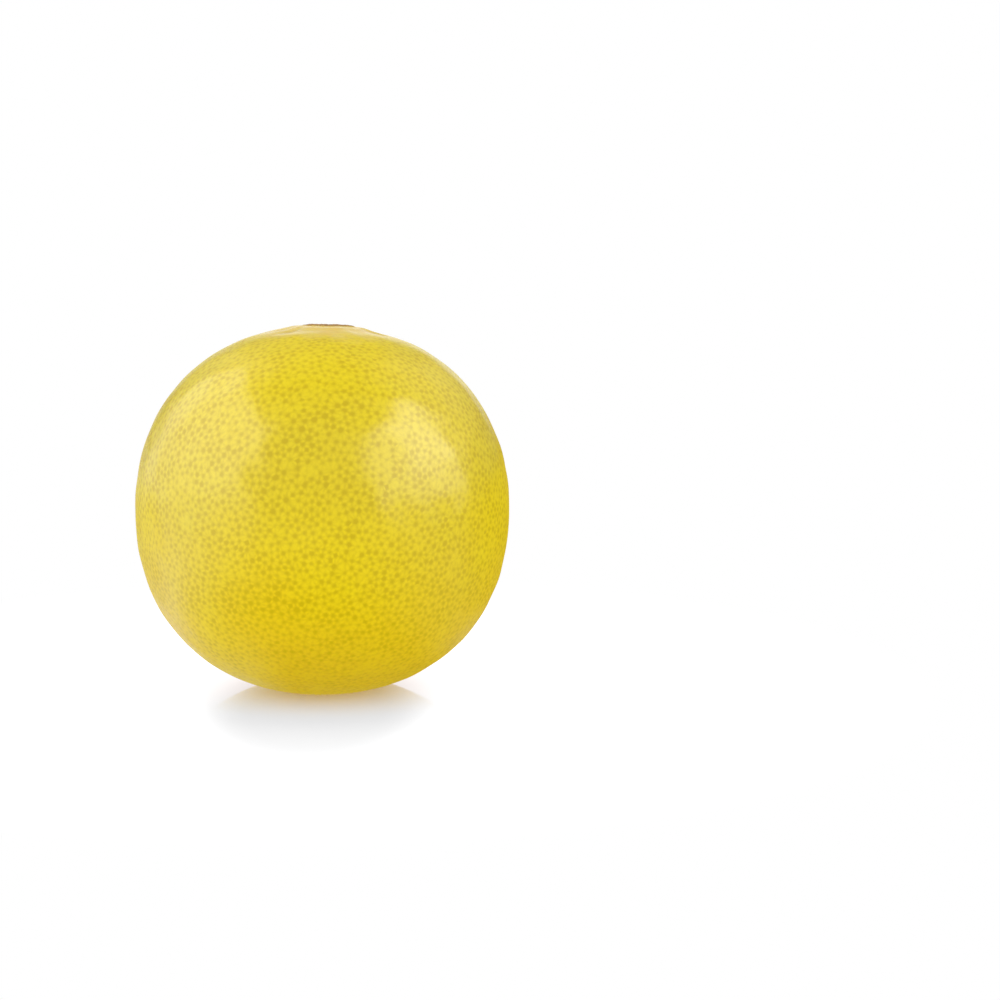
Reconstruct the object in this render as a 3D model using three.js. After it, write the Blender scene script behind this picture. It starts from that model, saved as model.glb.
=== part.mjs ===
// Whole sweet lime: one round, thin-skinned citrus fruit, grown as a single piece.
//
// Millimetres, +Z up. The origin is the centre of the small flat spot that the fruit rests on, at its
// blossom end, and +Z runs up through the middle of the fruit. The body is a slightly squared ball: its
// profile is a superellipse, a little squarer below than above. The stem scar sits a little off the axis,
// on a low boss with a shallow dish, and soft furrows run out from it between the lobes of the segments.

import * as THREE from "three";

// Body
const HALF_WIDTH = 33;
const CROWN_RISE = 32.6;
const BASE_DROP = 32.6;
const REST_DROP = 31.8;
const CROWN_SQUARENESS = 2.165;
const BASE_SQUARENESS = 2.2;

// How far the crown sits from the axis, and where its lean begins and is complete, from -1 at the base to
// 1 at the crown
const CROWN_ASIDE = 1.1;
const CROWN_BACK = 3.5;
const LEAN_START = -0.3;
const LEAN_FULL = 0.9;

// Boss, dish and collar around the stem scar
const BOSS_HEIGHT = 0.09;
const BOSS_START = 1;
const BOSS_END = 8.6;
const DISH_DEPTH = 0.04;
const DISH_RADIUS = 5;
const COLLAR_HEIGHT = 0.16;
const COLLAR_RADIUS = 6.2;
const COLLAR_WIDTH = 1.5;

// Dry stem scar with its raised rim and the pit the stem left
const SCAR_RADIUS = 3.9;
const SCAR_RIM_HEIGHT = 0.13;
const SCAR_RIM_WIDTH = 0.7;
const STEM_PIT_DEPTH = 0.5;
const STEM_PIT_RADIUS = 1.2;

// Furrows between the lobes: a ring deepest a little way out from the scar, deeper between the lobes and
// on one side
const LOBES = 10;
const FURROW_DEPTH = 0.5;
const FURROW_PEAK = 9;
const FURROW_SPREAD = 2.6;
const FURROW_EVENNESS = 0.45;
const FURROW_SIDES = 3;
const FURROW_MEAN = 0.66;
const FURROW_SWING = 0.5;
const FURROW_TURN = 2.2;

// Unevenness of a grown fruit: slightly oval, slightly three-sided
const OVAL = 0.12;
const THREE_SIDED = 0.1;

// Fineness of the surface
const SEGMENTS_ROUND = 60;
const STEPS_BELOW = 13;
const STEPS_ABOVE = 12;
const SCAR_RINGS = [8.6, 7.4, 6.2, 5.2, 4.3, 3.7, 2.6, 1.3, 0.7];
const SCAR_RING_JOIN = 9.8;

/** Distance from the axis of the body's profile, at a depth below the equator. */
function baseRadius(depth) {
  const share = depth / BASE_DROP;
  return HALF_WIDTH * (1 - share ** BASE_SQUARENESS) ** (1 / BASE_SQUARENESS);
}

/** Height above the equator of the body's upper half, at a distance from the axis. */
function crownHeight(radius) {
  const share = radius / HALF_WIDTH;
  return CROWN_RISE * (1 - share ** CROWN_SQUARENESS) ** (1 / CROWN_SQUARENESS);
}

/** The point, from the middle of the body, where a ray in a direction leaves it. */
function bodySurface(direction) {
  const isUpper = direction.z > 0;
  const reach = isUpper ? CROWN_RISE : BASE_DROP;
  const power = isUpper ? CROWN_SQUARENESS : BASE_SQUARENESS;
  const around = Math.hypot(direction.x, direction.y) / HALF_WIDTH;
  const upright = Math.abs(direction.z) / reach;
  const size = (around ** power + upright ** power) ** (-1 / power);
  return direction.clone().multiplyScalar(size);
}

/** A smooth hill of height 1 around a centre, falling off over a width. */
function hill(value, centre, width) {
  return Math.exp(-(((value - centre) / width) ** 2));
}

/** Turns a direction towards the leaning crown: not at all near the base, fully near the top. */
function leant(direction) {
  const share = THREE.MathUtils.smoothstep(direction.z, LEAN_START, LEAN_FULL) / HALF_WIDTH;
  const shift = new THREE.Vector3(CROWN_ASIDE, CROWN_BACK, 0).multiplyScalar(share);
  return direction.clone().add(shift).normalize();
}

/** Profile from the centre of the flat spot, out over the equator and in to the stem scar. */
function bodyProfile() {
  const points = [new THREE.Vector2(0, 0), new THREE.Vector2(baseRadius(REST_DROP), 0)];
  const restAngle = Math.asin(REST_DROP / BASE_DROP);
  for (let step = 1; step <= STEPS_BELOW; step += 1) {
    const angle = restAngle * (1 - step / STEPS_BELOW);
    const depth = BASE_DROP * Math.sin(angle);
    points.push(new THREE.Vector2(baseRadius(depth), REST_DROP - depth));
  }
  const joinAngle = Math.acos(SCAR_RING_JOIN / HALF_WIDTH);
  for (let step = 1; step <= STEPS_ABOVE; step += 1) {
    const radius = HALF_WIDTH * Math.cos((joinAngle * step) / STEPS_ABOVE);
    points.push(new THREE.Vector2(radius, crownHeight(radius) + REST_DROP));
  }
  for (const radius of SCAR_RINGS) {
    points.push(new THREE.Vector2(radius, crownHeight(radius) + REST_DROP));
  }
  points.push(new THREE.Vector2(0, crownHeight(0) + REST_DROP));
  return points;
}

/** Rise or dip of the crown against the plain body, at a distance from the scar's centre. */
function crownRelief(radius) {
  const boss = BOSS_HEIGHT * (1 - THREE.MathUtils.smoothstep(radius, BOSS_START, BOSS_END));
  const dish = -DISH_DEPTH * hill(radius, 0, DISH_RADIUS);
  const collar = COLLAR_HEIGHT * hill(radius, COLLAR_RADIUS, COLLAR_WIDTH);
  const rim = SCAR_RIM_HEIGHT * hill(radius, SCAR_RADIUS, SCAR_RIM_WIDTH);
  const pit = -STEM_PIT_DEPTH * hill(radius, 0, STEM_PIT_RADIUS);
  return boss + dish + collar + rim + pit;
}

/** Dip of the furrows between the lobes, at a place around the scar's centre. */
function furrowRelief(radius, azimuth) {
  const band = hill(radius, FURROW_PEAK, FURROW_SPREAD);
  const wave = (1 - Math.cos(LOBES * azimuth)) / 2;
  const cut = FURROW_EVENNESS + (1 - FURROW_EVENNESS) * wave;
  const uneven = FURROW_MEAN + FURROW_SWING * Math.sin(FURROW_SIDES * azimuth + FURROW_TURN);
  return -FURROW_DEPTH * band * cut * uneven;
}

/** How far the grown body stands out from, or in from, a true body of revolution. */
function unevenness(radius, azimuth) {
  const oval = OVAL * Math.cos(2 * azimuth + 0.6);
  const threeSided = THREE_SIDED * Math.cos(3 * azimuth - 1.1);
  return ((oval + threeSided) * radius) / HALF_WIDTH;
}

/** A point of the turned body after it has grown: leaning crown, relief around the scar, unevenness. */
function grown(point, scarCentre) {
  const middle = new THREE.Vector3(0, 0, REST_DROP);
  const direction = point.clone().sub(middle).normalize();
  const isLeaning = direction.z > LEAN_START;
  const placed = isLeaning ? bodySurface(leant(direction)).add(middle) : point.clone();
  const radius = Math.hypot(placed.x, placed.y);
  const azimuth = Math.atan2(placed.y, placed.x);
  const stretch = radius > 0 ? 1 + unevenness(radius, azimuth) / radius : 1;
  if (direction.z > 0) {
    const across = placed.x - scarCentre.x;
    const along = placed.y - scarCentre.y;
    const away = Math.hypot(across, along);
    placed.z += crownRelief(away) + furrowRelief(away, Math.atan2(along, across));
  }
  placed.x *= stretch;
  placed.y *= stretch;
  return placed;
}

/** Gives the turned body its leaning crown, its furrows and its unevenness. */
function shapeAsGrown(geometry) {
  const scarCentre = bodySurface(leant(new THREE.Vector3(0, 0, 1)));
  const place = geometry.attributes.position;
  const point = new THREE.Vector3();
  for (let index = 0; index < place.count; index += 1) {
    point.fromBufferAttribute(place, index);
    const placed = grown(point, scarCentre);
    place.setXYZ(index, placed.x, placed.y, placed.z);
  }
  geometry.computeVertexNormals();
}

/** The whole fruit as one closed body. */
function makeLime() {
  const geometry = new THREE.LatheGeometry(bodyProfile(), SEGMENTS_ROUND);
  geometry.rotateX(Math.PI / 2);
  shapeAsGrown(geometry);
  const peel = new THREE.MeshStandardMaterial({ color: 0xe2cb31, roughness: 0.38, metalness: 0 });
  const lime = new THREE.Mesh(geometry, peel);
  lime.name = "lime";
  return lime;
}

const fruit = new THREE.Group();
fruit.add(makeLime());

export default fruit;
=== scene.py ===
"""Looks of a whole sweet lime: pitted peel, dry stem button, pale floor, soft studio light and camera.

Everything is in metres in the shared frame: +Z is up the fruit's own axis, and the origin is the centre
of the flat spot that the fruit rests on. The camera looks along +Y.
"""

import logging
import math
from dataclasses import dataclass
from enum import Enum

import bpy
import numpy as np
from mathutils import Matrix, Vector
from mathutils.geometry import delaunay_2d_cdt
from mathutils.kdtree import KDTree


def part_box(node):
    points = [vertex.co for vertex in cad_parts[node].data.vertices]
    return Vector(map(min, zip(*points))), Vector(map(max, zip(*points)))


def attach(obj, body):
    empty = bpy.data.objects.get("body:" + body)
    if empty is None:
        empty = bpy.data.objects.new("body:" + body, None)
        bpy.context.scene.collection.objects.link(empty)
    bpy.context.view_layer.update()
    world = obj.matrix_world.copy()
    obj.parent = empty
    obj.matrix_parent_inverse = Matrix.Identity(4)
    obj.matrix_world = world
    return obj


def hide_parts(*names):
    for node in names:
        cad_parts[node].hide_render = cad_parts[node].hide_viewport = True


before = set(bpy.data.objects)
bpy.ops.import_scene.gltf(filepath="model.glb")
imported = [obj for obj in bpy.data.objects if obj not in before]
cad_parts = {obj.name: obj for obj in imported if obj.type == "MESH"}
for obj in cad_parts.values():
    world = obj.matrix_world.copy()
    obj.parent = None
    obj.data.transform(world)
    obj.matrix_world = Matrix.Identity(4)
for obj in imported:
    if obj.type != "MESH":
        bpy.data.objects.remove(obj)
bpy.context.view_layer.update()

MM = 0.001
GOLDEN_ANGLE = math.pi * (3 - math.sqrt(5))
HEX_PACKING = math.sqrt(3) / 2
QUARTER_TURN = math.pi / 2
NOISE_MEAN = 0.5
TINY = 1e-9
NODE = "lime"
BODY = "root"

Colour = tuple[float, float, float, float]
Socket = bpy.types.NodeSocket
Sockets = dict[int | str, object]
Span = tuple[float, float]

log = logging.getLogger("sweet_lime")


def colour(red: float, green: float, blue: float) -> Colour:
    """A linear colour with full alpha."""
    return (red, green, blue, 1.0)


def hill(value: np.ndarray, centre: float | np.ndarray, width: float) -> np.ndarray:
    """A smooth hill of height 1 around a centre, falling off over a width."""
    return np.exp(-(((value - centre) / width) ** 2))


def smooth_step(value: np.ndarray, start: float, end: float) -> np.ndarray:
    """0 before start, 1 past end and an easy curve between. The end may be the lower of the two."""
    share = np.clip((value - start) / (end - start), 0, 1)
    return share * share * (3 - 2 * share)


def unit(vectors: np.ndarray) -> np.ndarray:
    """The same directions at length 1."""
    return vectors / np.linalg.norm(vectors, axis=-1, keepdims=True)


class WaveNoise:
    """Smooth seeded unevenness over space, made of a few dozen plane waves.

    The shortest and the longest wave are given in usual distances between neighbouring rises.
    """

    WAVES = 36
    LENGTHS: Span = (0.7, 1.5)

    def __init__(self, feature: float, seed: int) -> None:
        """Draws the waves.

        Args:
            feature: Usual distance between neighbouring rises, in metres.
            seed: Picks the pattern.
        """
        draw = np.random.default_rng(seed)
        headings = unit(draw.normal(size=(self.WAVES, 3)))
        lengths = feature * draw.uniform(*self.LENGTHS, size=(self.WAVES, 1))
        self.turns = headings * (2 * math.pi / lengths)
        self.phases = draw.uniform(0, 2 * math.pi, size=self.WAVES)

    def at(self, points: np.ndarray) -> np.ndarray:
        """The unevenness at each point, about -1 to 1 for most of them."""
        return np.cos(points @ self.turns.T + self.phases).sum(axis=1) / math.sqrt(self.WAVES)


@dataclass(frozen=True)
class Ripple:
    """Even waves round the upright axis: how many, how high, and how far they are turned."""

    waves: int
    height: float
    turn: float = 0.0

    def at(self, azimuth: np.ndarray) -> np.ndarray:
        """Height of the waves at each angle round the axis."""
        return self.height * np.sin(self.waves * azimuth + self.turn)


@dataclass(frozen=True)
class BodyForm:
    """The smooth body: a superellipse turned about the upright axis, standing on a small flat spot.

    The shares are of the half width: the crown's height over the middle of the fruit, the depth of a
    full round base under it, and the depth at which the flat spot cuts that base off.
    """

    half_width: float
    crown_share: float = 0.988
    base_share: float = 0.988
    rest_share: float = 0.9636
    squareness: float = 2.165
    base_squareness: float = 2.2
    rest_softness: float = 0.25 * MM
    oval: Ripple = Ripple(2, 0.12 * MM, QUARTER_TURN + 0.6)
    three_sided: Ripple = Ripple(3, 0.1 * MM, QUARTER_TURN - 1.1)

    @classmethod
    def from_box(cls, low: Vector, high: Vector) -> "BodyForm":
        """The body that is as wide, on average, as the box from the low to the high corner."""
        return cls(half_width=(high.x - low.x + high.y - low.y) / 4)

    @property
    def crown_rise(self) -> float:
        """Height of the crown over the middle of the fruit."""
        return self.crown_share * self.half_width

    @property
    def rest_drop(self) -> float:
        """Depth of the flat spot under the middle of the fruit."""
        return self.rest_share * self.half_width

    def surface(self, directions: np.ndarray) -> np.ndarray:
        """Points where rays from the middle of the fruit leave the plain body.

        Args:
            directions: Unit vectors, one row each.

        Returns:
            Points in the frame, one row each.
        """
        around = np.hypot(directions[:, 0], directions[:, 1]) / self.half_width
        above = directions[:, 2] > 0
        base_drop = self.base_share * self.half_width
        upright = np.abs(directions[:, 2]) / np.where(above, self.crown_rise, base_drop)
        power = np.where(above, self.squareness, self.base_squareness)
        size = (around**power + upright**power) ** (-1 / power)
        points = directions * size[:, None]
        return self._settled(self._uneven(points))

    def normals(self, directions: np.ndarray) -> np.ndarray:
        """Outward unit vectors of the plain body where the rays leave it.

        Args:
            directions: Unit vectors of the rays, one row each.

        Returns:
            Unit vectors, one row each.
        """
        step = 0.01
        slanted = [0.31, 0.47, 0.83]
        across = unit(np.cross(directions, slanted))
        along = np.cross(directions, across)
        side = self._chord(directions, step * across)
        rise = self._chord(directions, step * along)
        return unit(np.cross(side, rise))

    def _chord(self, directions: np.ndarray, shift: np.ndarray) -> np.ndarray:
        """From the surface on one side of each ray to the surface on its other side."""
        return self.surface(unit(directions + shift)) - self.surface(unit(directions - shift))

    def _uneven(self, points: np.ndarray) -> np.ndarray:
        """Makes the body slightly oval and slightly three-sided, as a grown fruit is.

        Args:
            points: Points of the even body.

        Returns:
            The moved points.
        """
        azimuth = np.arctan2(points[:, 1], points[:, 0])
        swell = self.oval.at(azimuth) + self.three_sided.at(azimuth)
        grown = points.copy()
        grown[:, :2] *= (1 + swell / self.half_width)[:, None]
        return grown

    def _settled(self, points: np.ndarray) -> np.ndarray:
        """Moves the body up to stand on z = 0 and flattens what would reach below it.

        Args:
            points: Points of the body, measured from its middle.

        Returns:
            The points in the frame.
        """
        height = points[:, 2] + self.rest_drop
        settled = points.copy()
        settled[:, 2] = self.rest_softness * np.logaddexp(0, height / self.rest_softness)
        return settled


@dataclass(frozen=True)
class CrownForm:
    """The crown around the stem button: a shallow dish with furrows running out between soft lobes.

    The crown's middle stands a little aside of the upright axis and behind it.
    """

    boss_height: float = 0.09 * MM
    boss_slope: Span = (1.0 * MM, 8.6 * MM)
    dish_depth: float = 0.04 * MM
    dish_radius: float = 5.0 * MM
    collar_height: float = 0.16 * MM
    collar_radius: float = 6.2 * MM
    collar_width: float = 1.5 * MM
    lobes: int = 10
    lobe_sway: Ripple = Ripple(2, 0.11, 0.8)
    lobe_flutter: Ripple = Ripple(5, 0.1)
    furrow_depth: float = 0.5 * MM
    furrow_peak: float = 9.0 * MM
    furrow_spread: float = 2.6 * MM
    furrow_evenness: float = 0.45
    furrow_sharpness: float = 1.6
    furrow_mean: float = 0.66
    furrow_swing: Ripple = Ripple(3, 0.5, 2.2)
    aside: float = 1.1 * MM
    back: float = 3.5 * MM
    lean_span: Span = (-0.3, 0.9)

    def relief(self, distance: np.ndarray, azimuth: np.ndarray) -> np.ndarray:
        """Rise or dip against the plain body.

        Args:
            distance: Distance from the crown's middle, in metres.
            azimuth: Angle round it, in radians.

        Returns:
            Lift in metres, below 0 where the peel dips.
        """
        boss = self.boss_height * (1 - smooth_step(distance, *self.boss_slope))
        dish = -self.dish_depth * hill(distance, 0, self.dish_radius)
        collar = self.collar_height * hill(distance, self.collar_radius, self.collar_width)
        return boss + dish + collar - self.furrow_depth * self.furrow(distance, azimuth)

    def lean(self, directions: np.ndarray, form: BodyForm) -> np.ndarray:
        """Turns the upper half of the directions so that the topmost one points at the crown's middle."""
        shift = np.array([[self.aside, self.back, 0.0]]) / form.half_width
        return unit(directions + smooth_step(directions[:, 2:3], *self.lean_span) * shift)

    def furrow(self, distance: np.ndarray, azimuth: np.ndarray) -> np.ndarray:
        """How deep in a furrow each point is.

        Args:
            distance: Distance from the crown's middle, in metres.
            azimuth: Angle round it, in radians.

        Returns:
            About 1 along the bottom of a deep furrow, 0 on the lobes and away from the crown.
        """
        swayed = azimuth + self.lobe_sway.at(azimuth) + self.lobe_flutter.at(azimuth)
        wave = (1 - np.cos(self.lobes * swayed)) / 2
        cut = self.furrow_evenness + (1 - self.furrow_evenness) * wave**self.furrow_sharpness
        depth = cut * (self.furrow_mean + self.furrow_swing.at(azimuth))
        return hill(distance, self.furrow_peak, self.furrow_spread) * depth


@dataclass(frozen=True)
class StemButton:
    """The dry corky button that the stem broke away from, with a ragged rim and a small pit.

    The rim's place is a share of the outline and its width one of the radius. The collar's place and
    width are in pit radii. The raised shares are of the thickness, and the spokes' is of the grain.
    """

    radius: float = 4.3 * MM
    thickness: float = 0.17 * MM
    flat_share: float = 0.7
    edge_width: float = 0.35 * MM
    lobes: Ripple = Ripple(5, 0.3 * MM, QUARTER_TURN + 0.9)
    ragged_reach: float = 0.15 * MM
    ragged_waves: int = 13
    ragged_sway: Ripple = Ripple(4, 1.7)
    rim_place: float = 0.84
    rim_width: float = 0.2
    rim_share: float = 0.3
    pit_radius: float = 1.15 * MM
    pit_depth: float = 0.55 * MM
    collar_place: float = 1.55
    collar_width: float = 0.45
    collar_share: float = 0.4
    grain: float = 0.035 * MM
    crack_size: float = 0.9 * MM
    crack_seed: int = 41
    spokes: int = 23
    spoke_sway: Ripple = Ripple(3, 2.5)
    spoke_share: float = 0.7
    spoke_span: Span = (1.0 * MM, 3.0 * MM)

    def outline(self, azimuth: np.ndarray) -> np.ndarray:
        """Distance from the crown's middle to the ragged rim, at each angle round it."""
        ragged = self.ragged_reach * np.sin(self.ragged_waves * azimuth + self.ragged_sway.at(azimuth))
        return self.radius + self.lobes.at(azimuth) + ragged

    def mask(self, distance: np.ndarray, azimuth: np.ndarray) -> np.ndarray:
        """1 on the button, 0 on the peel, over a narrow edge."""
        half = self.edge_width / 2
        return 1 - smooth_step(distance - self.outline(azimuth), -half, half)

    def relief(self, points: np.ndarray, distance: np.ndarray, azimuth: np.ndarray) -> np.ndarray:
        """Lift of the button's own surface over the peel.

        Args:
            points: Points on the plain body.
            distance: Their distance from the crown's middle.
            azimuth: Their angle round it.

        Returns:
            Lift in metres.
        """
        rim = hill(distance, self.rim_place * self.outline(azimuth), self.rim_width * self.radius)
        pit = hill(distance, 0, self.pit_radius)
        collar = hill(distance, self.collar_place * self.pit_radius, self.collar_width * self.pit_radius)
        spokes = np.cos(self.spokes * azimuth + self.spoke_sway.at(azimuth))
        spokes = spokes * smooth_step(distance, *self.spoke_span)
        cracks = WaveNoise(self.crack_size, self.crack_seed).at(points) + self.spoke_share * spokes
        body = self.thickness * (self.flat_share + self.rim_share * rim + self.collar_share * collar)
        return self.mask(distance, azimuth) * (body - self.pit_depth * pit + self.grain * cracks)


@dataclass(frozen=True)
class GlandField:
    """Where the oil glands sit in the peel, how strong each one is and how deep it dimples.

    Heights are on a ball from -1, the base, to 1, the crown. Clearings, margins, jitters, gaps and the
    ring's size are shares of the spacing there, and the ring's limit is one of the way to a neighbour.
    Tints and the ring's dent are shares of what the middle of a strong gland has.
    """

    spacing: float = 1.38 * MM
    crown_crowding: float = 0.13
    crown_reach: float = 0.12
    base_crowding: float = 0.22
    base_reach: float = 0.14
    height_steps: int = 4000
    jitter: float = 0.5
    settling_rounds: int = 4
    seed: int = 20
    button_clearing: float = 0.7
    button_spacing: float = 0.5 * MM
    button_margin: float = 0.6
    button_jitter: float = 0.18
    strength_mean: float = 0.88
    strength_spread: float = 0.2
    strength_range: Span = (0.4, 1.25)
    crown_fade: float = 0.12
    crown_span: Span = (0.45, 0.9)
    base_fade: float = 0.45
    base_span: Span = (-0.3, -0.85)
    button_fade: float = 0.75
    button_reach: float = 0.07
    patch_share: float = 0.16
    patch_size: float = 0.3
    patch_seed: int = 5
    dimple_depth: float = 0.03 * MM
    ring_size: float = 0.4
    ring_steady: float = 0.7
    ring_limit: float = 0.42
    ring_tint: float = 0.28
    ring_dent: float = 0.34
    close_tint: float = 0.12
    close_gap: float = 1.12
    close_fade: float = 0.5

    def local_spacing(self, height: np.ndarray) -> np.ndarray:
        """Spacing of the glands at each height.

        Args:
            height: Heights on the ball.

        Returns:
            Spacings in metres.
        """
        crown = self.crown_crowding * hill(height, 1, self.crown_reach)
        base = self.base_crowding * hill(height, -1, self.base_reach)
        return self.spacing * (1 - crown - base)

    def sow(self, form: BodyForm, button: StemButton) -> "Seeds":
        """Spreads seeds evenly but not regularly: glands over the peel, finer ones over the button.

        Args:
            form: The body they are spread over.
            button: The stem button, which has no glands.

        Returns:
            Directions from the middle of the fruit, with the strength of each seed.
        """
        draw = np.random.default_rng(self.seed)
        clearing = self.button_clearing * self.spacing * (1 - self.crown_crowding)
        clear = (button.radius + clearing) / form.half_width
        glands = self._peel_seeds(form, math.sqrt(1 - clear**2), draw)
        plain = self._button_seeds(form, button, draw)
        strength = draw.normal(self.strength_mean, self.strength_spread, size=len(glands))
        kept = np.clip(strength, *self.strength_range) * self._fading(glands)
        base_pole = np.array([[0.0, 0.0, -1.0]])
        return Seeds(
            directions=np.vstack([glands, plain, base_pole]),
            strength=np.concatenate([kept, np.zeros(len(plain) + 1)]),
        )

    def _fading(self, glands: np.ndarray) -> np.ndarray:
        """How much of its strength each gland keeps: less at the crown and the base, and in patches.

        Args:
            glands: Directions of the glands.

        Returns:
            A share for each gland.
        """
        height = glands[:, 2]
        upper = self.crown_fade * smooth_step(height, *self.crown_span)
        lower = self.base_fade * smooth_step(height, *self.base_span)
        by_button = self.button_fade * hill(height, 1, self.button_reach)
        patches = 1 + self.patch_share * WaveNoise(self.patch_size, self.patch_seed).at(glands)
        return (1 - upper - lower) * (1 - by_button) * patches

    def _peel_seeds(self, form: BodyForm, highest: float, draw: np.random.Generator) -> np.ndarray:
        """Seeds of the glands, from the base up to the edge of the button.

        Args:
            form: The body they are spread over.
            highest: Height that no seed may pass.
            draw: Where the random numbers come from.

        Returns:
            Directions of the seeds.
        """
        height = np.linspace(-1, highest, self.height_steps)
        crowd = (form.half_width / self.local_spacing(height)) ** 2 / HEX_PACKING
        running = np.concatenate([[0], np.cumsum((crowd[1:] + crowd[:-1]) / 2 * np.diff(height))])
        total = int(2 * math.pi * running[-1])
        level = (np.arange(total) + 0.5) / total * running[-1]
        seeds = self._spiral(np.interp(level, running, height))
        gap = self.local_spacing(seeds[:, 2]) / form.half_width
        seeds = unit(seeds + self.jitter * gap[:, None] * draw.uniform(-1, 1, size=seeds.shape))
        for _ in range(self.settling_rounds):
            seeds = self._settle(seeds, gap, highest)
        return seeds

    def _button_seeds(self, form: BodyForm, button: StemButton, draw: np.random.Generator) -> np.ndarray:
        """Seeds of the fine mesh over the stem button.

        Args:
            form: The body they are spread over.
            button: The button that they cover.
            draw: Where the random numbers come from.

        Returns:
            Directions of the seeds.
        """
        reach = button.radius + self.button_margin * self.button_spacing
        total = int(math.pi * reach**2 / (HEX_PACKING * self.button_spacing**2))
        distance = reach * np.sqrt((np.arange(total) + 0.5) / total) / form.half_width
        seeds = self._spiral(np.sqrt(1 - distance**2))
        shake = self.button_jitter * self.button_spacing / form.half_width
        return unit(seeds + shake * draw.uniform(-1, 1, size=seeds.shape))

    @staticmethod
    def _spiral(height: np.ndarray) -> np.ndarray:
        """Directions that turn by the golden angle from one to the next.

        Args:
            height: Height of each on the ball.

        Returns:
            Unit vectors, one row each.
        """
        turn = GOLDEN_ANGLE * np.arange(len(height))
        around = np.sqrt(1 - height**2)
        return np.column_stack([around * np.cos(turn), around * np.sin(turn), height])

    @staticmethod
    def _settle(seeds: np.ndarray, gap: np.ndarray, highest: float) -> np.ndarray:
        """Pushes seeds that crowd each other a little apart.

        Args:
            seeds: Directions of the seeds.
            gap: Spacing wanted at each seed, as an angle.
            highest: Height that no seed may pass.

        Returns:
            The moved directions.
        """
        nearest = 7
        enough = 0.94
        give = 0.42
        tree = KDTree(len(seeds))
        for index, seed in enumerate(seeds):
            tree.insert(seed, index)
        tree.balance()
        near = np.array([[found[1] for found in tree.find_n(seed, nearest)] for seed in seeds])
        apart = seeds[:, None, :] - seeds[near[:, 1:]]
        far = np.linalg.norm(apart, axis=2, keepdims=True)
        push = np.clip(enough * gap[:, None, None] - far, 0, None) / np.maximum(far, TINY)
        moved = unit(seeds + give * (apart * push).sum(axis=1))
        moved[:, 2] = np.minimum(moved[:, 2], highest)
        return unit(moved)


@dataclass(frozen=True)
class Seeds:
    """Seed directions from the middle of the fruit, with the strength of the gland at each."""

    directions: np.ndarray
    strength: np.ndarray

    def triangles(self) -> np.ndarray:
        """Joins neighbouring seeds into triangles all round the ball.

        The ball is flattened from its base pole, which keeps circles round, so the flat triangles are
        the right ones on the ball too. The last seed is that pole, and closes the sheet's outer edge.

        Returns:
            Seed numbers, three to a row, turning left as seen from outside.
        """
        open_seeds = self.directions[:-1]
        flat = open_seeds[:, :2] / (1 + open_seeds[:, 2:3])
        joined = delaunay_2d_cdt([Vector(point) for point in flat.tolist()], [], [], 0, TINY)
        corners = np.array([list(face) for face in joined[2]])
        source = np.array([old[0] for old in joined[3]])
        corners = source[corners]
        pole = len(self.directions) - 1
        known = {(int(a), int(b)) for a, b in triangle_edges(corners)}
        rim = [(a, b) for a, b in known if (b, a) not in known]
        closing = np.array([[b, a, pole] for a, b in sorted(rim)])
        return np.vstack([corners, closing])


def triangle_edges(triangles: np.ndarray) -> np.ndarray:
    """The three edges of every triangle, in its turning order, two point numbers to a row."""
    return triangles[:, [0, 1, 1, 2, 2, 0]].reshape(-1, 2)


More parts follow.
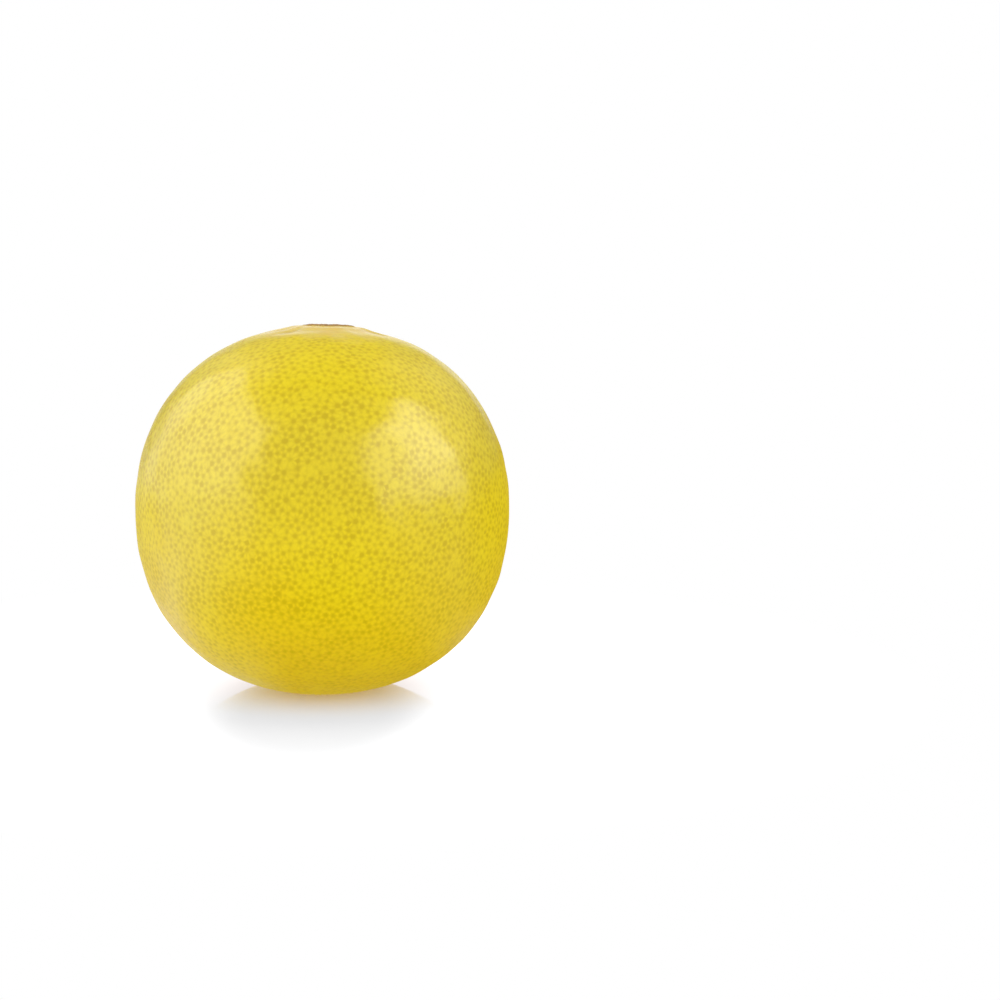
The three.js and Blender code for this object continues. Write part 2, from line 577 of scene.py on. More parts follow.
class RosetteMesh:
    """A closed mesh with a small rosette of faces round every seed, so each gland has real dimples.

    Each seed is one point, with a ring of points round it, one on the way to each neighbour, and every
    triangle of neighbouring seeds has one point in its middle. Over the button, where the seeds have no
    strength, the ring points stand a third of the way along.
    """

    def __init__(self, seeds: Seeds, field: GlandField, form: BodyForm) -> None:
        """Lays out the points and the faces as directions from the middle of the fruit.

        Args:
            seeds: The seeds and their strengths.
            field: The glands' spacing and ring sizes.
            form: The body that gives distances.
        """
        triangles = seeds.triangles()
        edges = np.unique(np.sort(triangle_edges(triangles), axis=1), axis=0)
        ends = np.vstack([edges, edges[:, ::-1]])
        start = seeds.directions[ends[:, 0]]
        stop = seeds.directions[ends[:, 1]]
        strength = seeds.strength[ends[:, 0]]
        length = np.linalg.norm(stop - start, axis=1)
        gap = field.local_spacing(start[:, 2]) / form.half_width
        own = field.ring_size * gap * (field.ring_steady + (1 - field.ring_steady) * strength)
        reach = np.where(strength == 0, length / 3, own)
        share = np.minimum(reach / length, field.ring_limit)
        ring = unit(start + share[:, None] * (stop - start))
        middle = unit(seeds.directions[triangles].mean(axis=1))
        bare = np.zeros(len(middle))

        closeness = np.clip((field.close_gap * gap - length) / (field.close_fade * gap), 0, 1)
        ring_gland = field.ring_tint * strength + field.close_tint * closeness
        self.directions = np.vstack([seeds.directions, ring, middle])
        self.gland = np.concatenate([seeds.strength, ring_gland, bare])
        self.dent = np.concatenate([seeds.strength, field.ring_dent * strength, bare])
        self.faces = self._faces(triangles, ends, len(seeds.directions))

    @staticmethod
    def _faces(triangles: np.ndarray, ends: np.ndarray, count: int) -> np.ndarray:
        """Nine faces for each triangle of seeds: one at each corner and six round its middle.

        Args:
            triangles: Seed numbers, three to a row.
            ends: For each ring point, the seed it belongs to and the neighbour it lies towards.
            count: How many seeds there are, which is the number of the first ring point.

        Returns:
            Point numbers, three to a row.
        """
        key = ends[:, 0] * count + ends[:, 1]
        order = np.argsort(key)
        sorted_key = key[order]

        def ring_point(seed: np.ndarray, towards: np.ndarray) -> np.ndarray:
            """Number of the ring point of a seed that lies towards a neighbour."""
            return count + order[np.searchsorted(sorted_key, seed * count + towards)]

        a, b, c = triangles.T
        middle = count + len(ends) + np.arange(len(triangles))
        ab, ba = ring_point(a, b), ring_point(b, a)
        bc, cb = ring_point(b, c), ring_point(c, b)
        ca, ac = ring_point(c, a), ring_point(a, c)
        corners = [(a, ab, ac), (b, bc, ba), (c, ca, cb)]
        hexagon = [ab, ba, bc, cb, ca, ac]
        fan = [(middle, near, far) for near, far in zip(hexagon, hexagon[1:] + hexagon[:1])]
        return np.vstack([np.column_stack(face) for face in corners + fan])


class Value:
    """A number in a material's nodes, so that shader maths can be written as Python expressions."""

    def __init__(self, board: "Board", socket: Socket) -> None:
        """Wraps an output socket of a board."""
        self.board = board
        self.socket = socket

    def _maths(self, operation: str, first: object, second: object) -> "Value":
        """Adds one Math node and returns its result."""
        made = self.board.node("ShaderNodeMath", {"operation": operation}, {0: first, 1: second})
        return Value(self.board, made.outputs[0])

    def __add__(self, other: "Value | float") -> "Value":
        """self + other."""
        return self._maths("ADD", self, other)

    __radd__ = __add__

    def __sub__(self, other: "Value | float") -> "Value":
        """self - other."""
        return self._maths("SUBTRACT", self, other)

    def __rsub__(self, other: float) -> "Value":
        """other - self."""
        return self._maths("SUBTRACT", other, self)

    def __mul__(self, other: "Value | float") -> "Value":
        """self * other."""
        return self._maths("MULTIPLY", self, other)

    __rmul__ = __mul__

    def __truediv__(self, other: "Value | float") -> "Value":
        """self / other."""
        return self._maths("DIVIDE", self, other)

    def __rtruediv__(self, other: float) -> "Value":
        """other / self."""
        return self._maths("DIVIDE", other, self)

    def root(self) -> "Value":
        """Its square root."""
        return self._maths("SQRT", self, 0.0)

    def maximum(self, other: "Value | float") -> "Value":
        """The larger of the two."""
        return self._maths("MAXIMUM", self, other)

    def ramp(self, low: float, high: float) -> "Value":
        """An easy curve up from 0 to 1, held at both ends.

        Args:
            low: Where it leaves 0.
            high: Where it reaches 1.

        Returns:
            The curve's height.
        """
        settings = {"interpolation_type": "SMOOTHSTEP"}
        sockets = {"Value": self, "From Min": low, "From Max": high}
        made = self.board.node("ShaderNodeMapRange", settings, sockets)
        return Value(self.board, made.outputs["Result"])


class Board:
    """The nodes of one material or of the world."""

    def __init__(self, tree: bpy.types.NodeTree) -> None:
        """Clears the tree and keeps it."""
        self.tree = tree
        tree.nodes.clear()

    def node(self, kind: str, settings: dict[str, object], sockets: Sockets) -> bpy.types.Node:
        """Adds a node.

        Args:
            kind: The node's type.
            settings: Its own settings, set before its sockets.
            sockets: A value, colour, Value or output socket for each input, by name or number.

        Returns:
            The new node.
        """
        made = self.tree.nodes.new(kind)
        for name, setting in settings.items():
            setattr(made, name, setting)
        for name, given in sockets.items():
            if isinstance(given, Value):
                given = given.socket
            if isinstance(given, Socket):
                self.tree.links.new(given, made.inputs[name])
            else:
                made.inputs[name].default_value = given
        return made

    def place(self) -> Socket:
        """Where a point of the surface lies in the frame, in metres."""
        return self.node("ShaderNodeTexCoord", {}, {}).outputs["Object"]

    def split(self, vector: Socket) -> tuple[Value, Value, Value]:
        """The three parts of a vector."""
        parts = self.node("ShaderNodeSeparateXYZ", {}, {0: vector}).outputs
        return Value(self, parts[0]), Value(self, parts[1]), Value(self, parts[2])

    def ray(self, kind: str) -> Value:
        """1 for rays of a kind, such as those that the camera sends out, and 0 for others."""
        return Value(self, self.node("ShaderNodeLightPath", {}, {}).outputs[kind])

    def attribute(self, name: str) -> Value:
        """A number kept at the mesh's points."""
        made = self.node("ShaderNodeAttribute", {"attribute_name": name}, {})
        return Value(self, made.outputs["Fac"])

    def noise(self, place: Socket, feature: float, detail: float = 2.0) -> Value:
        """Seamless noise from 0 to 1.

        Args:
            place: Where the surface point lies.
            feature: Size of the noise's features, in metres.
            detail: How many finer layers are added.

        Returns:
            The noise, NOISE_MEAN on average.
        """
        sockets = {"Vector": place, "Scale": 1 / feature, "Detail": detail, "Roughness": 0.5}
        made = self.node("ShaderNodeTexNoise", {"noise_dimensions": "3D"}, sockets)
        return Value(self, made.outputs[0])

    def mix(self, share: Value, first: object, second: object) -> Socket:
        """A colour between two others: the first at share 0, the second at share 1."""
        made = self.node("ShaderNodeMix", {"data_type": "RGBA"}, {0: share, 6: first, 7: second})
        return made.outputs[2]

    def shader(self, kind: str, sockets: Sockets) -> Socket:
        """A shader of one kind, from the values of its sockets."""
        return self.node(kind, {}, sockets).outputs[0]

    def blend(self, share: Value, shaders: dict[int, Socket]) -> Socket:
        """A shader between the given 1, at share 0, and 2, at share 1. One left out gives no light."""
        return self.shader("ShaderNodeMixShader", {0: share} | shaders)

    def output(self, kind: str, shader: Socket) -> None:
        """Joins a shader to the tree's output."""
        self.node(kind, {}, {"Surface": shader})


class PeelMap:
    """What the finishes go by at each point of the surface."""

    LIT_FLANK_START: Span = (0.1, 0.45)
    LIT_FLANK_END: Span = (0.35, 0.75)
    LIT_FLANK_RISE: Span = (0.2, 0.7)
    GLAND_BLUR: float = 0.7 * MM
    GLAND_BLUR_SHARE: float = 0.6

    def __init__(self, board: Board, form: BodyForm) -> None:
        """Adds the nodes that the finishes share.

        The map holds the place, how far aside it is as a share of the half width, how high as a share
        of the height of the fruit's middle, how much of a gland is there, the button, and the lit flank:
        1 low on the left, where painted light makes the peel paler and extra wax gives it more sheen,
        and 0 elsewhere.

        Args:
            board: The material's nodes.
            form: The body that gives the sizes.
        """
        self.place = board.place()
        across, _, up = board.split(self.place)
        aside = across / form.half_width
        self.outward = aside * aside
        self.rise = up / form.rest_drop
        side = (0 - aside).ramp(*self.LIT_FLANK_START) * (1 - self.outward.ramp(*self.LIT_FLANK_END))
        self.lit_flank = side * (1 - self.rise.ramp(*self.LIT_FLANK_RISE))
        blur = board.noise(self.place, self.GLAND_BLUR) - NOISE_MEAN
        self.gland = board.attribute("gland") + self.GLAND_BLUR_SHARE * blur
        self.button = board.attribute("button")


@dataclass(frozen=True)
class SkinFinish:
    """Colours of the peel away from the crown: yellow with darker glands, darker and golden low down as
    painted shade, and paler low on the left as painted light.
    """

    ground: Colour = colour(0.768, 0.597, 0.001)
    # Darker, more golden colour that painted shade puts low on the peel.
    golden: Colour = colour(0.73, 0.475, 0.009)
    lemon: Colour = colour(0.76, 0.62, 0.001)
    bright: Colour = colour(0.87, 0.69, 0.003)
    gland: Colour = colour(0.595, 0.425, 0.0)
    low_shade_patch: float = 24 * MM
    low_shade_wave: float = 0.55
    low_shade_span: Span = (0.15, 1.05)
    fresh_patch: float = 15 * MM
    fresh_share: float = 0.55
    fresh_span: Span = (0.48, 0.72)
    speckle_size: float = 1.1 * MM
    speckle_share: float = 0.3
    speckle_span: Span = (0.42, 0.75)
    bright_share: float = 0.35
    bright_span: Span = (-0.1, 0.35)
    lit_flank_share: float = 0.4
    gland_share: float = 0.97
    gland_span: Span = (0.0, 0.82)

    def paint(self, board: Board, peel: PeelMap) -> Socket:
        """Colour of the peel.

        Args:
            board: The material's nodes.
            peel: What the colour goes by.

        Returns:
            The colour.
        """
        wide = board.noise(peel.place, self.low_shade_patch) - NOISE_MEAN
        # Painted shade: the peel turns darker and golden towards the base, along an uneven edge.
        low_shade = 1 - (peel.rise + self.low_shade_wave * wide).ramp(*self.low_shade_span)
        fresh = board.noise(peel.place, self.fresh_patch).ramp(*self.fresh_span)
        speckle = board.noise(peel.place, self.speckle_size).ramp(*self.speckle_span)
        between = 1 - peel.gland.ramp(*self.bright_span)
        skin = board.mix(low_shade, self.ground, self.golden)
        skin = board.mix(self.fresh_share * fresh * (1 - low_shade), skin, self.lemon)
        skin = board.mix(self.speckle_share * speckle, skin, self.gland)
        skin = board.mix(self.bright_share * between, skin, self.bright)
        # Painted light: the lower left of the peel is painted paler, as if lit more from that side.
        skin = board.mix(self.lit_flank_share * peel.lit_flank, skin, self.bright)
        return board.mix(self.gland_share * peel.gland.ramp(*self.gland_span), skin, self.gland)


@dataclass(frozen=True)
class HaloFinish:
    """The paler, faintly flushed peel round the button, with painted shade darkening its furrows."""

    pale: Colour = colour(0.84, 0.62, 0.17)
    flushed: Colour = colour(0.81, 0.54, 0.11)
    furrow_shade: Colour = colour(0.45, 0.30, 0.05)
    share: float = 0.85
    span: Span = (0.1, 0.95)
    patch: float = 3.2 * MM
    patch_share: float = 0.6
    flush_patch: float = 4.5 * MM
    flush_detail: float = 3.0
    flush_span: Span = (0.45, 0.7)
    furrow_shade_share: float = 0.3
    furrow_shade_span: Span = (0.35, 1.0)

    def paint(self, board: Board, peel: PeelMap, skin: Socket) -> Socket:
        """Adds the halo to the peel's colour.

        Args:
            board: The material's nodes.
            peel: What the colour goes by.
            skin: Colour of the plain peel.

        Returns:
            The colour.
        """
        patchy = board.noise(peel.place, self.patch) - NOISE_MEAN
        share = (board.attribute("halo") + self.patch_share * patchy).ramp(*self.span)
        flush = board.noise(peel.place, self.flush_patch, self.flush_detail).ramp(*self.flush_span)
        crowned = board.mix(self.share * share, skin, board.mix(flush, self.pale, self.flushed))
        # Painted shade: darker colour down in the crown's furrows.
        furrow_shaded = self.furrow_shade_share * board.attribute("furrow").ramp(*self.furrow_shade_span)
        return board.mix(furrow_shaded, crowned, self.furrow_shade)


@dataclass(frozen=True)
class CorkFinish:
    """Dry cork, on the button and in the small scar under the fruit where the blossom was."""

    brown: Colour = colour(0.20, 0.10, 0.03)
    dark: Colour = colour(0.07, 0.033, 0.012)
    pale: Colour = colour(0.36, 0.21, 0.08)
    roughness: float = 0.85
    grain_size: float = 0.5 * MM
    grain_detail: float = 4.0
    pale_span: Span = (0.45, 0.95)
    dark_grain: float = 0.5
    dark_span: Span = (0.2, 0.62)
    scar_patch: float = 0.8 * MM
    scar_ragged: float = 0.3
    scar_span: Span = (0.35, 0.8)

    def paint(self, board: Board, peel: PeelMap, around: Socket) -> Socket:
        """Adds the scar and the button, with painted shade darkening it where it lies low, in its pit and
        cracks, and paler on its worn ridges.

        Args:
            board: The material's nodes.
            peel: What the colour goes by.
            around: Colour of the peel around them.

        Returns:
            The colour.
        """
        ragged = self.scar_ragged * board.noise(peel.place, self.scar_patch)
        scar = (board.attribute("blossom") + ragged).ramp(*self.scar_span)
        lift = board.attribute("button_lift")
        grain = board.noise(peel.place, self.grain_size, self.grain_detail)
        worn = (grain + lift - NOISE_MEAN).ramp(*self.pale_span)
        # Painted shade: the button is darker where it lies low, in its pit and cracks, and with its
        # grain.
        pit_shade = 1 - (lift + self.dark_grain * grain).ramp(*self.dark_span)
        cork = board.mix(pit_shade, board.mix(worn, self.brown, self.pale), self.dark)
        return board.mix(peel.button, board.mix(scar, around, self.pale), cork)


@dataclass(frozen=True)
class WaxFinish:
    """The peel's wax: thick high up and at the sides, thin low on the front, less in the dimples."""

    thick: float = 1.0
    thin: float = 0.08
    rise_span: Span = (0.6, 1.7)
    outward_rise: float = 1.4
    worn: float = 0.55
    worn_outward: Span = (0.5, 0.8)
    worn_rise: Span = (1.0, 1.4)
    lit_flank: float = 0.34
    gland_loss: float = 0.15
    gland_span: Span = (0.1, 0.9)
    roughness: float = 0.26
    ior: float = 1.8

    def weight(self, peel: PeelMap) -> Value:
        """How much wax is on the peel.

        Args:
            peel: What it goes by.

        Returns:
            From 0, bare, to 1.
        """
        height = (peel.rise + self.outward_rise * peel.outward).ramp(*self.rise_span)
        upward = self.thin + (self.thick - self.thin) * height
        low = 1 - peel.rise.ramp(*self.worn_rise)
        worn = self.worn * peel.outward.ramp(*self.worn_outward) * low
        dimpled = self.gland_loss * peel.gland.ramp(*self.gland_span)
        # Extra wax on the lit flank gives the peel more sheen low on the left.
        return (upward * (1 - worn) + self.lit_flank * peel.lit_flank) * (1 - dimpled)


@dataclass(frozen=True)
class PeelFinish:
    """Waxy yellow peel with darker oil glands, and the dry brown button in its paler halo."""

    skin: SkinFinish = SkinFinish()
    halo: HaloFinish = HaloFinish()
    cork: CorkFinish = CorkFinish()
    wax: WaxFinish = WaxFinish()
    ior: float = 1.45
    roughness: float = 0.36
    dull_patch: float = 6 * MM
    dull_share: float = 0.1
    gland_dullness: float = 0.08
    subsurface: float = 0.06
    subsurface_radii: tuple[float, float, float] = (1.0, 0.55, 0.12)
    subsurface_scale: float = 1.2 * MM
    grain_size: float = 0.42 * MM
    cork_grain_size: float = 0.3 * MM
    cork_grain_detail: float = 4.0
    cork_relief: float = 3.0
    relief_strength: float = 0.35
    relief_height: float = 0.05 * MM

    def material(self, form: BodyForm) -> bpy.types.Material:
        """Makes the peel's material.

        Args:
            form: The body, for the heights that the colour changes over.

        Returns:
            The material.
        """
        made = bpy.data.materials.new("peel_finish")
        made.use_nodes = True
        board = Board(made.node_tree)
        peel = PeelMap(board, form)
        crowned = self.halo.paint(board, peel, self.skin.paint(board, peel))
        dull = board.noise(peel.place, self.dull_patch) - NOISE_MEAN
        waxy = self.roughness + self.dull_share * dull + self.gland_dullness * peel.gland
        sockets = {
            "Base Color": self.cork.paint(board, peel, crowned),
            "Roughness": waxy * (1 - peel.button) + self.cork.roughness * peel.button,
            "IOR": self.ior,
            "Specular IOR Level": 0.0,
            "Subsurface Weight": self.subsurface,
            "Subsurface Radius": self.subsurface_radii,
            "Subsurface Scale": self.subsurface_scale,
            "Coat Weight": self.wax.weight(peel) * (1 - peel.button),
            "Coat Roughness": self.wax.roughness,
            "Coat IOR": self.wax.ior,
            "Normal": self._fine_relief(board, peel),
        }
        shader = board.shader("ShaderNodeBsdfPrincipled", sockets)
        board.output("ShaderNodeOutputMaterial", shader)
        return made

    def _fine_relief(self, board: Board, peel: PeelMap) -> Socket:
        """Relief finer than the mesh: the peel's slight grain and the button's rough cork.

        Args:
            board: The material's nodes.
            peel: What the relief goes by.

        Returns:
            The surface's normal.
        """
        grain = board.noise(peel.place, self.grain_size)
        cork = board.noise(peel.place, self.cork_grain_size, self.cork_grain_detail)
        height = grain * (1 - peel.button) + self.cork_relief * cork * peel.button
        sockets = {"Height": height, "Strength": self.relief_strength, "Distance": self.relief_height}
        return board.node("ShaderNodeBump", {}, sockets).outputs[0]


@dataclass
class SweetLime:
    """The whole fruit, one closed piece."""

    form: BodyForm
    crown: CrownForm
    button: StemButton
    glands: GlandField
    finish: PeelFinish
    halo_fade: float = 15.0 * MM
    swell: float = 0.06 * MM
    swell_size: float = 7 * MM
    swell_seed: int = 12
    resting_span: Span = (0.1 * MM, 1.6 * MM)
    blossom_radius: float = 1.1 * MM
    blossom_depth: float = 0.3 * MM

    def build(self) -> bpy.types.Object:
        """Builds the fruit's mesh, dresses it and gives it to the frame.

        Returns:
            The fruit.
        """
        rosettes = RosetteMesh(self.glands.sow(self.form, self.button), self.glands, self.form)
        directions = self.crown.lean(rosettes.directions, self.form)
        points = self.form.surface(directions)
        normals = self.form.normals(directions)
        middle = self.form.surface(self.crown.lean(np.array([[0.0, 0.0, 1.0]]), self.form))
        away = points - middle
        distance = np.hypot(away[:, 0], away[:, 1])
        azimuth = np.arctan2(away[:, 1], away[:, 0])
        upper = directions[:, 2] > 0
        on_button = self.button.mask(distance, azimuth) * upper
        button_lift = self.button.relief(points, distance, azimuth) * upper
        crown_lift = self.crown.relief(distance, azimuth) * upper
        swell = self.swell * WaveNoise(self.swell_size, self.swell_seed).at(points)
        dimple = -self.glands.dimple_depth * rosettes.dent
        resting = smooth_step(points[:, 2], *self.resting_span)

        points = points + normals * ((swell + dimple) * resting * (1 - on_button))[:, None]
        points[:, 2] += crown_lift + button_lift
        blossom = hill(np.hypot(points[:, 0], points[:, 1]), 0, self.blossom_radius) * ~upper
        points[:, 2] = np.maximum(points[:, 2], 0) + self.blossom_depth * blossom

        edge = self.button.outline(azimuth)
        attributes = {
            "gland": rosettes.gland * (1 - on_button),
            "button": on_button,
            "button_lift": np.clip(button_lift / self.button.thickness, 0, 1) * on_button,
            "halo": (1 - smooth_step(distance - edge, 0, self.halo_fade)) * upper,
            "furrow": self.crown.furrow(distance, azimuth) * (1 - on_button) * upper,
            "blossom": blossom,
        }
        fruit = self._piece("lime_fruit", points, rosettes.faces, attributes)
        fruit.data.materials.append(self.finish.material(self.form))
        # Light bounced off the fruit would tint the white floor yellow
        fruit.visible_diffuse = False
        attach(fruit, BODY)
        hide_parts(NODE)
        return fruit

    @staticmethod
    def _piece(
        name: str, points: np.ndarray, faces: np.ndarray, attributes: dict[str, np.ndarray]
    ) -> bpy.types.Object:
        """Makes a smooth-shaded object from points and faces.

        Args:
            name: The object's name.
            points: One row a point.
            faces: Point numbers, three to a row.
            attributes: A number for each point, by name.

        Returns:
            The object, in the scene.
        """
        mesh = bpy.data.meshes.new(name)
        mesh.from_pydata(points.tolist(), [], faces.tolist())
        mesh.shade_smooth()
        for label, numbers in attributes.items():
            layer = mesh.attributes.new(label, "FLOAT", "POINT")
            layer.data.foreach_set("value", numbers.astype(np.float32))
        mesh.update()
        made = bpy.data.objects.new(name, mesh)
        bpy.context.scene.collection.objects.link(made)
        return made


@dataclass(frozen=True)
class Floor:
    """A wide white sheet with a faint gloss near the fruit, where its reflection fades away.

    The camera sees the sheet a little lifted by painted light outside a long oval ahead of the fruit,
    which leaves the fruit's shadow as an oval of shade there, and plain white far out. The fruit
    mirrors it with a sheen that grows with distance, and with a golden card over its right side,
    which stands for a neighbour that isn't built.
    """

    half_size: float = 8.0
    whiteness: float = 0.93
    plain_span: Span = (0.055, 0.11)
    lift: float = 0.27
    lift_span: Span = (0.3, 1.35)
    shade_half_width: float = 19.5 * MM
    shade_half_length: float = 44 * MM
    shade_ahead: float = 22 * MM
    gloss: float = 0.85
    gloss_span: Span = (4 * MM, 30 * MM)
    # Warm tint on all of the floor's gloss, strongest near the fruit: painted bounce light from the
    # yellow fruit.
    warm_bounce_tint: Colour = colour(1.0, 0.86, 0.8)
    gloss_roughness: float = 0.05
    sheen: float = 0.5
    sheen_span: Span = (0.03, 0.15)
    card_share: float = 0.9
    card_span: Span = (0.0, 0.05)
    card_colour: Colour = colour(0.5, 0.33, 0.01)

    def build(self) -> bpy.types.Object:
        """Makes the floor.

        Returns:
            The floor.
        """
        size = self.half_size
        corners = [(-size, -size, 0), (size, -size, 0), (size, size, 0), (-size, size, 0)]
        mesh = bpy.data.meshes.new("floor")
        mesh.from_pydata(corners, [], [(0, 1, 2, 3)])
        mesh.materials.append(self._material())
        floor = bpy.data.objects.new("floor", mesh)
        bpy.context.scene.collection.objects.link(floor)
        return floor

    def _material(self) -> bpy.types.Material:
        """Makes the sheet's material.

        Returns:
            The material: plain diffuse for the light, and dressed for the camera and for the gloss.
        """
        made = bpy.data.materials.new("floor_finish")
        made.use_nodes = True
        board = Board(made.node_tree)
        across, along, _ = board.split(board.place())
        far = (across * across + along * along).root()
        seen = board.ray("Is Camera Ray")
        mirrored = board.ray("Is Glossy Ray")
        sideways = across / self.shade_half_width
        ahead = (along + self.shade_ahead) / self.shade_half_length
        # Painted light: the camera sees the floor lifted outside an oval ahead of the fruit, so its
        # shadow keeps that oval's shape.
        painted_lift_share = (sideways * sideways + ahead * ahead).ramp(*self.lift_span)
        strong = self.gloss * (1 - far.ramp(*self.gloss_span))
        sheen = self.sheen * far.ramp(*self.sheen_span)
        carded = self.card_share * across.ramp(*self.card_span)

        white = colour(self.whiteness, self.whiteness, self.whiteness)
        glossy = {"Color": self.warm_bounce_tint, "Roughness": self.gloss_roughness}
        matt = board.shader("ShaderNodeBsdfDiffuse", {"Color": white})
        gloss = board.shader("ShaderNodeBsdfGlossy", glossy)
        card = board.shader("ShaderNodeBsdfDiffuse", {"Color": self.card_colour})
        glow = board.shader("ShaderNodeEmission", {"Strength": self.lift})
        plain = board.shader("ShaderNodeEmission", {"Strength": 1.0})
        near = board.blend(strong * seen + sheen * mirrored, {1: matt, 2: gloss})
        dressed = board.blend(carded * mirrored, {1: near, 2: card})
        raised = board.blend(painted_lift_share * seen, {2: glow})
        lifted = board.shader("ShaderNodeAddShader", {0: dressed, 1: raised})
        sheet = board.blend(far.ramp(*self.plain_span) * seen, {1: lifted, 2: plain})
        board.output("ShaderNodeOutputMaterial", sheet)
        return made


def hang(data: bpy.types.ID, place: Vector, facing: Vector) -> bpy.types.Object:
    """Puts a lamp or a camera in the scene.

    Args:
        data: The lamp or the camera.
        place: Where it is.
        facing: The direction that it looks in.

    Returns:
        Its object, named as the data is.
    """
    made = bpy.data.objects.new(data.name, data)
    made.location = place
    made.rotation_mode = "QUATERNION"
    made.rotation_quaternion = facing.to_track_quat("-Z", "Y")
    bpy.context.scene.collection.objects.link(made)
    return made


class Side(Enum):
    """The side of the fruit that a softbox stands on."""

    LEFT = -1
    RIGHT = 1


@dataclass(frozen=True)
class Softbox:
    """An upright panel beside the fruit that the gloss mirrors. Places are in metres from the fruit."""

    name: str
    side: Side
    away: float
    front: float
    back: float
    low: float
    high: float
    radiance: float

    def build(self) -> bpy.types.Object:
        """Makes the lamp. Its power gives the same radiance at any size, and only gloss shows it.

        Returns:
            The lamp.
        """
        data = bpy.data.lights.new(self.name, "AREA")
        data.shape = "RECTANGLE"
        data.size = self.back - self.front
        data.size_y = self.high - self.low
        data.energy = self.radiance * math.pi * data.size * data.size_y
        sign = self.side.value
        place = Vector((sign * self.away, (self.front + self.back) / 2, (self.low + self.high) / 2))
        lamp = hang(data, place, Vector((-sign, 0, 0)))
        lamp.visible_diffuse = False
        return lamp


@dataclass(frozen=True)
class Toplight:
    """A large soft square panel over the fruit, a little behind it, whose shadow lies on the floor."""

    distance: float = 0.9
    elevation: float = 72.0
    size: float = 0.9
    radiance: float = 1.36

    def build(self) -> bpy.types.Object:
        """Makes the lamp. The glossy peel doesn't mirror it.

        Returns:
            The lamp.
        """
        data = bpy.data.lights.new("toplight", "AREA")
        data.shape = "SQUARE"
        data.size = self.size
        data.energy = self.radiance * math.pi * self.size**2
        # The fruit is hidden from bounced light, which would reach this lamp through it
        data.cycles.use_multiple_importance_sampling = False
        tilt = math.radians(self.elevation)
        heading = Vector((0, math.cos(tilt), math.sin(tilt)))
        lamp = hang(data, self.distance * heading, -heading)
        lamp.visible_glossy = False
        return lamp


@dataclass(frozen=True)
class Surround:
    """The room: white where it is seen, white behind the fruit for gloss, and a dim even light elsewhere.

    The light on surfaces is stronger in front, and a flag takes off some that comes from low at the
    right. The spans are of a direction's parts: across to the right, depth away and up.
    """

    front_light: float = 1.185
    back_light: float = 0.5
    light_depth: Span = (-0.9, 0.6)
    side_light: float = 0.3
    right_flag: float = 0.42
    flag_across: Span = (0.2, 0.9)
    flag_up: Span = (0.0, 0.4)
    dim: float = 0.02
    bright: float = 0.22
    bright_depth: Span = (0.0, 0.5)
    white_depth: Span = (0.93, 0.99)
    rim_glow: float = 0.35
    rim_outward: Span = (0.0, 0.2)
    rim_up: Span = (0.1, 0.5)

    def build(self) -> None:
        """Sets the world."""
        world = bpy.data.worlds.new("surround")
        bpy.context.scene.world = world
        world.use_nodes = True
        board = Board(world.node_tree)
        heading = board.node("ShaderNodeTexCoord", {}, {}).outputs["Generated"]
        across, depth, up = board.split(heading)
        outward = across * across
        behind = depth.ramp(*self.bright_depth)
        frontal = self.front_light + (self.back_light - self.front_light) * depth.ramp(*self.light_depth)
        flagged = self.right_flag * across.ramp(*self.flag_across) * (1 - up.ramp(*self.flag_up))
        ambient = (frontal + self.side_light * outward) * (1 - flagged)
        rim = self.rim_glow * behind * outward.ramp(*self.rim_outward) * up.ramp(*self.rim_up)
        plain = self.dim + (self.bright - self.dim) * behind
        room = plain + rim + (1 - self.bright) * depth.ramp(*self.white_depth)
        mirrored = board.ray("Is Glossy Ray").maximum(board.ray("Is Transmission Ray"))
        seen = board.ray("Is Camera Ray")
        strength = ambient * (1 - mirrored) * (1 - seen) + room * mirrored + seen
        sky = board.shader("ShaderNodeBackground", {"Color": colour(1, 1, 1), "Strength": strength})
        board.output("ShaderNodeOutputWorld", sky)


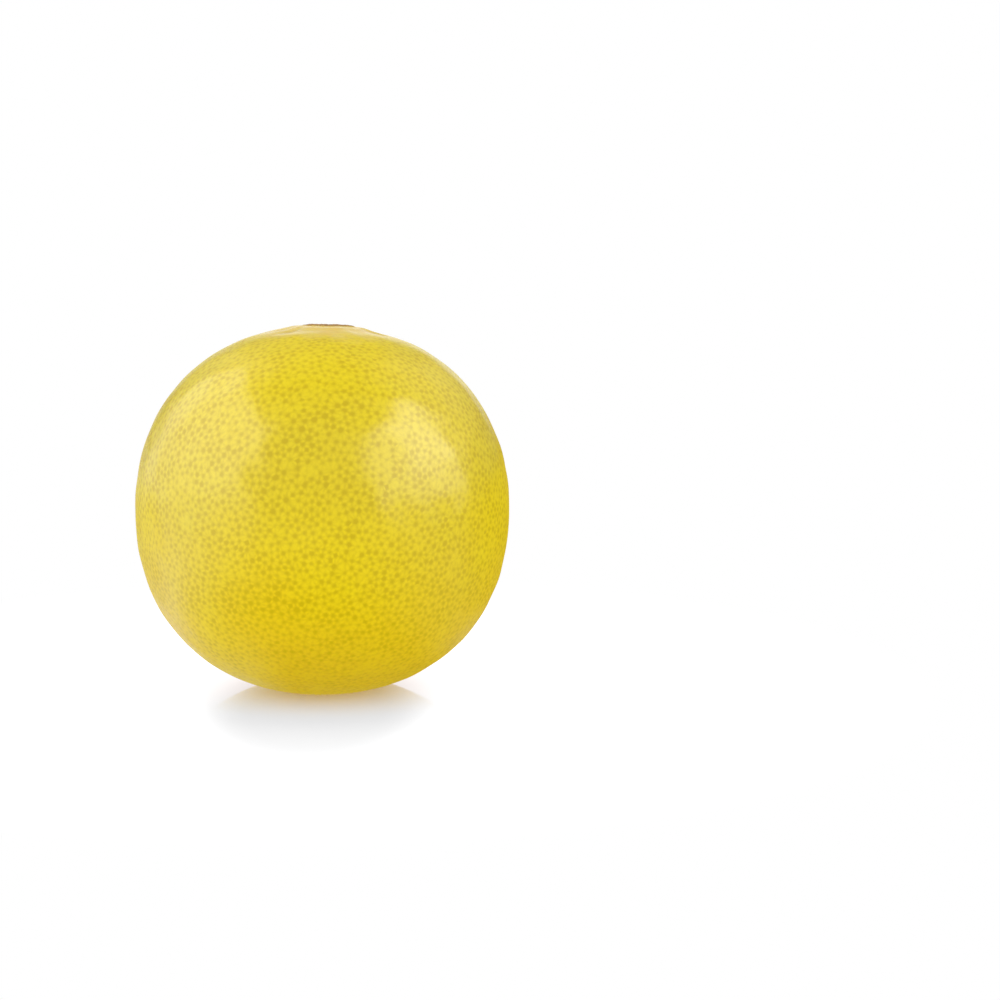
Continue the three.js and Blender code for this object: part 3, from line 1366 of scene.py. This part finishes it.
@dataclass(frozen=True)
class Viewpoint:
    """The camera, looking along +Y and a little down, with the fruit left of the middle of the frame.

    It aims beside the fruit, by a share of the half width, at a share of the fruit's height.
    """

    distance: float = 0.5
    elevation: float = 8.5
    field_width: float = 0.1777
    aside: float = 0.9555
    aim_height: float = 0.5196
    sensor: float = 36.0

    def build(self, form: BodyForm) -> bpy.types.Object:
        """Makes the camera.

        Args:
            form: The body, which the aim is worked out from.

        Returns:
            The camera, set as the scene's own.
        """
        data = bpy.data.cameras.new("camera")
        data.sensor_width = self.sensor
        data.lens = self.sensor * self.distance / self.field_width
        tilt = math.radians(self.elevation)
        back = Vector((0, -math.cos(tilt), math.sin(tilt)))
        tall = form.rest_drop + form.crown_rise
        aim = Vector((self.aside * form.half_width, 0, self.aim_height * tall))
        camera = hang(data, aim + self.distance * back, -back)
        bpy.context.scene.camera = camera
        return camera


def softboxes() -> list[Softbox]:
    """The two large softboxes, each in two parts so that it is brighter towards its middle.

    Returns:
        The four panels, a core standing a little nearer than the panel around it.
    """
    away = 0.45
    core_away = 0.98 * away
    left = Softbox(
        "softbox_left", Side.LEFT, away,
        front=-1.19 * away, back=1.15 * away, low=0.005, high=1.86 * away, radiance=0.9,
    )
    left_core = Softbox(
        "softbox_left_core", Side.LEFT, core_away,
        front=-0.95 * away, back=0.2 * away, low=0.2 * away, high=1.5 * away, radiance=0.54,
    )
    right = Softbox(
        "softbox_right", Side.RIGHT, away,
        front=-1.29 * away, back=0.2 * away, low=0.1 * away, high=1.56 * away, radiance=1.36,
    )
    right_core = Softbox(
        "softbox_right_core", Side.RIGHT, core_away,
        front=-0.5 * away, back=0.15 * away, low=0.4 * away, high=1.2 * away, radiance=1.08,
    )
    return [left, left_core, right, right_core]


def main() -> None:
    """Builds the fruit, the floor, the light and the camera, and reports each piece."""
    logging.basicConfig(level=logging.INFO, format="%(name)s: %(message)s")
    scene = bpy.context.scene
    scene.view_settings.view_transform = "Standard"
    low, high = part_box(NODE)
    form = BodyForm.from_box(Vector(low), Vector(high))

    fruit = SweetLime(form, CrownForm(), StemButton(), GlandField(), PeelFinish()).build()
    log.info("%s: %d points, %d faces", fruit.name, len(fruit.data.vertices), len(fruit.data.polygons))
    floor = Floor().build()
    log.info("%s: stage", floor.name)
    for softbox in softboxes():
        lamp = softbox.build()
        log.info("%s: %.1f W", lamp.name, lamp.data.energy)
    toplight = Toplight().build()
    log.info("%s: %.1f W", toplight.name, toplight.data.energy)
    Surround().build()
    camera = Viewpoint().build(form)
    log.info("%s: lens %.0f mm", camera.name, camera.data.lens)


if __name__ == "__main__":
    main()
